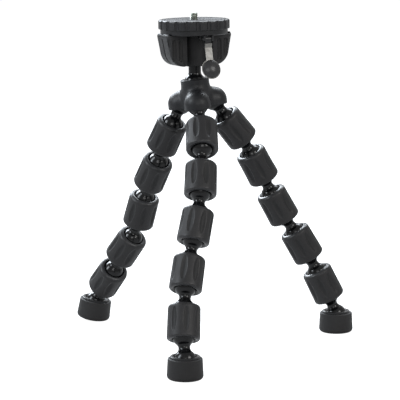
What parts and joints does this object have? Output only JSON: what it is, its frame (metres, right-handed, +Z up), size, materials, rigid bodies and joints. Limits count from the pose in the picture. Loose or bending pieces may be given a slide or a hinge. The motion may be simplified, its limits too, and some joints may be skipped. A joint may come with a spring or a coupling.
{
  "type": "flexible leg tripod",
  "caption": "Table-top camera tripod with three bendable legs of beads on double-ball links, and a ball head with a knurled screw wheel and a lever.",
  "frame": {"origin": "on the floor under the middle of the tripod's bounding box, at the soles", "axes": "+Z up along the camera screw, which leans by one degree; the front leg reaches towards -Y and the right leg towards +X"},
  "size_m": [0.2276, 0.2438, 0.2634],
  "materials": {
    "gloss_black": "glossy black plastic",
    "black_rubber": "matte black rubber",
    "black_plastic": "satin black plastic",
    "pad_rubber": "matte black rubber",
    "screw_chrome": "plated screw",
    "paddle_black": "glossy black plastic",
    "cam_plastic": "satin black plastic",
    "steel": "brushed steel"
  },
  "bodies": {
    "hub": {"hub_housing": "black_plastic"},
    "right_link_1": {"right_link_1": "gloss_black"},
    "right_bead_1": {"right_bead_1": "black_rubber"},
    "right_link_2": {"right_link_2": "gloss_black"},
    "right_bead_2": {"right_bead_2": "black_rubber"},
    "right_link_3": {"right_link_3": "gloss_black"},
    "right_bead_3": {"right_bead_3": "black_rubber"},
    "right_link_4": {"right_link_4": "gloss_black"},
    "right_bead_4": {"right_bead_4": "black_rubber"},
    "right_link_5": {"right_link_5": "gloss_black"},
    "right_bead_5": {"right_bead_5": "black_rubber"},
    "right_link_6": {"right_link_6": "gloss_black"},
    "right_foot": {"right_foot_ring": "black_plastic", "right_foot_rubber": "black_rubber"},
    "left_link_1": {"left_link_1": "gloss_black"},
    "left_bead_1": {"left_bead_1": "black_rubber"},
    "left_link_2": {"left_link_2": "gloss_black"},
    "left_bead_2": {"left_bead_2": "black_rubber"},
    "left_link_3": {"left_link_3": "gloss_black"},
    "left_bead_3": {"left_bead_3": "black_rubber"},
    "left_link_4": {"left_link_4": "gloss_black"},
    "left_bead_4": {"left_bead_4": "black_rubber"},
    "left_link_5": {"left_link_5": "gloss_black"},
    "left_bead_5": {"left_bead_5": "black_rubber"},
    "left_link_6": {"left_link_6": "gloss_black"},
    "left_foot": {"left_foot_ring": "black_plastic", "left_foot_rubber": "black_rubber"},
    "front_link_1": {"front_link_1": "gloss_black"},
    "front_bead_1": {"front_bead_1": "black_rubber"},
    "front_link_2": {"front_link_2": "gloss_black"},
    "front_bead_2": {"front_bead_2": "black_rubber"},
    "front_link_3": {"front_link_3": "gloss_black"},
    "front_bead_3": {"front_bead_3": "black_rubber"},
    "front_link_4": {"front_link_4": "gloss_black"},
    "front_bead_4": {"front_bead_4": "black_rubber"},
    "front_link_5": {"front_link_5": "gloss_black"},
    "front_bead_5": {"front_bead_5": "black_rubber"},
    "front_link_6": {"front_link_6": "gloss_black"},
    "front_foot": {"front_foot_ring": "black_plastic", "front_foot_rubber": "black_rubber"},
    "head_stud": {"head_stud": "gloss_black", "stud_nut": "steel"},
    "head": {"head_body": "black_plastic", "screw_bush": "black_plastic", "left_grip": "black_plastic", "right_grip": "black_plastic", "grip_screws": "steel", "lever_pin": "steel"},
    "wheel": {"knurled_wheel": "black_plastic", "plate_disc": "black_plastic", "rubber_pad": "pad_rubber", "camera_screw": "screw_chrome", "screw_clip": "steel"},
    "lever": {"lever_cam": "cam_plastic", "lever_arm": "steel", "lever_paddle": "paddle_black"},
    "lock_rod": {"lock_rod": "steel"}
  },
  "joints": [
    {"name": "head_tilt", "type": "hinge", "parent": "hub", "child": "head_stud", "pos_m": [-0.01458, 0.01492, 0.20825], "axis": [0.9062, 0.4226, 0.0158], "range_deg": [-26.9, 21.9]},
    {"name": "head_pan", "type": "hinge", "parent": "head_stud", "child": "head", "pos_m": [-0.01458, 0.01492, 0.20825], "axis": [-0.0175, 0, 0.9998], "continuous": true},
    {"name": "wheel_turn", "type": "hinge", "parent": "head", "child": "wheel", "pos_m": [-0.01533, 0.01492, 0.25105], "axis": [-0.0175, 0, 0.9998], "continuous": true},
    {"name": "lever_open", "type": "hinge", "parent": "head", "child": "lever", "pos_m": [-0.00457, -0.00792, 0.24464], "axis": [-0.9062, -0.4226, -0.0158], "range_deg": [0, 90]},
    {"name": "lock_rod_slide", "type": "slide", "parent": "head", "child": "lock_rod", "axis": [0.4226, -0.9063, 0.0074], "range_m": [0, 0.0004]},
    {"name": "right_link_1_bend", "type": "hinge", "parent": "hub", "child": "right_link_1", "pos_m": [0.00021, 0.02242, 0.19435], "axis": [-0.3746, 0.9272, 0], "range_deg": [-5.7, 28.3]},
    {"name": "right_bead_1_bend", "type": "hinge", "parent": "right_link_1", "child": "right_bead_1", "pos_m": [0.01031, 0.02589, 0.17901], "axis": [0.7041, 0.2845, 0.6506], "range_deg": [-33.8, 25.1]},
    {"name": "right_link_2_bend", "type": "hinge", "parent": "right_bead_1", "child": "right_link_2", "pos_m": [0.02191, 0.03155, 0.16399], "axis": [0.3746, -0.9272, 0], "range_deg": [-22.3, 37]},
    {"name": "right_bead_2_bend", "type": "hinge", "parent": "right_link_2", "child": "right_bead_2", "pos_m": [0.03045, 0.03753, 0.14846], "axis": [-0.7895, -0.319, -0.5244], "range_deg": [-32.4, 27.5]},
    {"name": "right_link_3_bend", "type": "hinge", "parent": "right_bead_2", "child": "right_link_3", "pos_m": [0.03943, 0.04292, 0.13166], "axis": [-0.3746, 0.9272, 0], "range_deg": [-34.4, 25.3]},
    {"name": "right_bead_3_bend", "type": "hinge", "parent": "right_link_3", "child": "right_bead_3", "pos_m": [0.04709, 0.04666, 0.11502], "axis": [0.803, 0.3244, 0.4999], "range_deg": [-27, 32.7]},
    {"name": "right_link_4_bend", "type": "hinge", "parent": "right_bead_3", "child": "right_link_4", "pos_m": [0.05639, 0.05005, 0.09787], "axis": [0.3746, -0.9272, 0], "range_deg": [-34.6, 25.2]},
    {"name": "right_bead_4_bend", "type": "hinge", "parent": "right_link_4", "child": "right_bead_4", "pos_m": [0.06666, 0.05299, 0.08252], "axis": [-0.7965, -0.3218, -0.5119], "range_deg": [-29.9, 29.6]},
    {"name": "right_link_5_bend", "type": "hinge", "parent": "right_bead_4", "child": "right_link_5", "pos_m": [0.07651, 0.05563, 0.06555], "axis": [-0.3746, 0.9272, 0], "range_deg": [-32.9, 27.1]},
    {"name": "right_bead_5_bend", "type": "hinge", "parent": "right_link_5", "child": "right_bead_5", "pos_m": [0.08505, 0.05776, 0.04905], "axis": [0.8266, 0.334, 0.4529], "range_deg": [-30.6, 29.4]},
    {"name": "right_link_6_bend", "type": "hinge", "parent": "right_bead_5", "child": "right_link_6", "pos_m": [0.09376, 0.06009, 0.03142], "axis": [-0.8653, -0.3496, -0.3593], "range_deg": [-29.5, 29.4]},
    {"name": "right_foot_bend", "type": "hinge", "parent": "right_link_6", "child": "right_foot", "pos_m": [0.10038, 0.06162, 0.014], "axis": [0.3746, -0.9272, 0], "range_deg": [-8.8, 50.8]},
    {"name": "left_link_1_bend", "type": "hinge", "parent": "hub", "child": "left_link_1", "pos_m": [-0.02558, 0.02242, 0.19119], "axis": [0.7193, 0.6947, 0], "range_deg": [-22.5, 4.3]},
    {"name": "left_bead_1_bend", "type": "hinge", "parent": "left_link_1", "child": "left_bead_1", "pos_m": [-0.0331, 0.02294, 0.17407], "axis": [-0.5847, 0.6055, 0.54], "range_deg": [-10.1, 42.8]},
    {"name": "left_link_2_bend", "type": "hinge", "parent": "left_bead_1", "child": "left_link_2", "pos_m": [-0.04039, 0.03076, 0.15741], "axis": [-0.7193, -0.6947, 0], "range_deg": [-30.9, 26.4]},
    {"name": "left_bead_2_bend", "type": "hinge", "parent": "left_link_2", "child": "left_bead_2", "pos_m": [-0.0447, 0.03959, 0.1415], "axis": [0.5604, -0.5803, -0.591], "range_deg": [-26, 32.9]},
    {"name": "left_link_3_bend", "type": "hinge", "parent": "left_bead_2", "child": "left_link_3", "pos_m": [-0.05131, 0.04939, 0.12561], "axis": [0.7193, 0.6947, 0], "range_deg": [-23.6, 36.2]},
    {"name": "left_bead_3_bend", "type": "hinge", "parent": "left_link_3", "child": "left_bead_3", "pos_m": [-0.05593, 0.05774, 0.10954], "axis": [-0.6282, 0.6506, 0.4267], "range_deg": [-32.1, 27.2]},
    {"name": "left_link_4_bend", "type": "hinge", "parent": "left_bead_3", "child": "left_link_4", "pos_m": [-0.06049, 0.06504, 0.0917], "axis": [-0.7193, -0.6947, 0], "range_deg": [-28.1, 31]},
    {"name": "left_bead_4_bend", "type": "hinge", "parent": "left_link_4", "child": "left_bead_4", "pos_m": [-0.06634, 0.07109, 0.075], "axis": [0.5195, -0.5379, -0.6639], "range_deg": [-25.4, 26.7]},
    {"name": "left_link_5_bend", "type": "hinge", "parent": "left_bead_4", "child": "left_link_5", "pos_m": [-0.07563, 0.08039, 0.0602], "axis": [0.7193, 0.6947, 0], "range_deg": [-23.9, 35.9]},
    {"name": "left_bead_5_bend", "type": "hinge", "parent": "left_link_5", "child": "left_bead_5", "pos_m": [-0.08279, 0.08861, 0.045], "axis": [-0.4736, 0.4905, 0.7315], "range_deg": [-21.5, 34]},
    {"name": "left_link_6_bend", "type": "hinge", "parent": "left_bead_5", "child": "left_link_6", "pos_m": [-0.09074, 0.10087, 0.03164], "axis": [0.5917, -0.6127, -0.524], "range_deg": [-15, 36.5]},
    {"name": "left_foot_bend", "type": "hinge", "parent": "left_link_6", "child": "left_foot", "pos_m": [-0.09816, 0.10731, 0.01573], "axis": [-0.7193, -0.6947, 0], "range_deg": [-52.2, 7.7]},
    {"name": "front_link_1_bend", "type": "hinge", "parent": "hub", "child": "front_link_1", "pos_m": [-0.01268, -0.00008, 0.19277], "axis": [0.9986, -0.0523, 0], "range_deg": [-4.2, 29.1]},
    {"name": "front_bead_1_bend", "type": "hinge", "parent": "front_link_1", "child": "front_bead_1", "pos_m": [-0.00951, -0.00931, 0.17682], "axis": [-0.0376, -0.7169, 0.6962], "range_deg": [-18.4, 34.3]},
    {"name": "front_link_2_bend", "type": "hinge", "parent": "front_bead_1", "child": "front_link_2", "pos_m": [-0.00902, -0.02311, 0.16263], "axis": [-0.9986, 0.0523, 0], "range_deg": [-23.9, 35.5]},
    {"name": "front_bead_2_bend", "type": "hinge", "parent": "front_link_2", "child": "front_bead_2", "pos_m": [-0.00983, -0.03468, 0.14796], "axis": [0.0437, 0.8335, -0.5507], "range_deg": [-29, 30.2]},
    {"name": "front_link_3_bend", "type": "hinge", "parent": "front_bead_2", "child": "front_link_3", "pos_m": [-0.0104, -0.04557, 0.13144], "axis": [0.9986, -0.0523, 0], "range_deg": [-32.9, 26.5]},
    {"name": "front_bead_3_bend", "type": "hinge", "parent": "front_link_3", "child": "front_bead_3", "pos_m": [-0.01221, -0.05488, 0.11532], "axis": [-0.0461, -0.8795, 0.4736], "range_deg": [-25.2, 34.6]},
    {"name": "front_link_4_bend", "type": "hinge", "parent": "front_bead_3", "child": "front_link_4", "pos_m": [-0.01571, -0.06398, 0.09808], "axis": [-0.9986, 0.0523, 0], "range_deg": [-31.2, 28.8]},
    {"name": "front_bead_4_bend", "type": "hinge", "parent": "front_link_4", "child": "front_bead_4", "pos_m": [-0.01879, -0.07295, 0.08197], "axis": [0.0444, 0.8473, -0.5293], "range_deg": [-27.7, 32.1]},
    {"name": "front_link_5_bend", "type": "hinge", "parent": "front_bead_4", "child": "front_link_5", "pos_m": [-0.02136, -0.08325, 0.06525], "axis": [0.9986, -0.0523, 0], "range_deg": [-32.3, 27.2]},
    {"name": "front_bead_5_bend", "type": "hinge", "parent": "front_link_5", "child": "front_bead_5", "pos_m": [-0.02248, -0.09239, 0.04898], "axis": [-0.0468, -0.8934, 0.4468], "range_deg": [-31.8, 27.9]},
    {"name": "front_link_6_bend", "type": "hinge", "parent": "front_bead_5", "child": "front_link_6", "pos_m": [-0.02295, -0.10122, 0.03126], "axis": [0.0485, 0.9254, -0.376], "range_deg": [-24.7, 34.6]},
    {"name": "front_foot_bend", "type": "hinge", "parent": "front_link_6", "child": "front_foot", "pos_m": [-0.0217, -0.1083, 0.014], "axis": [-0.9986, 0.0523, 0], "range_deg": [-7.5, 51.6]}
  ],
  "couplings": [
    {"joint": "lock_rod_slide", "follows": "lever_open", "m_per_rad": 0.00025465}
  ]
}
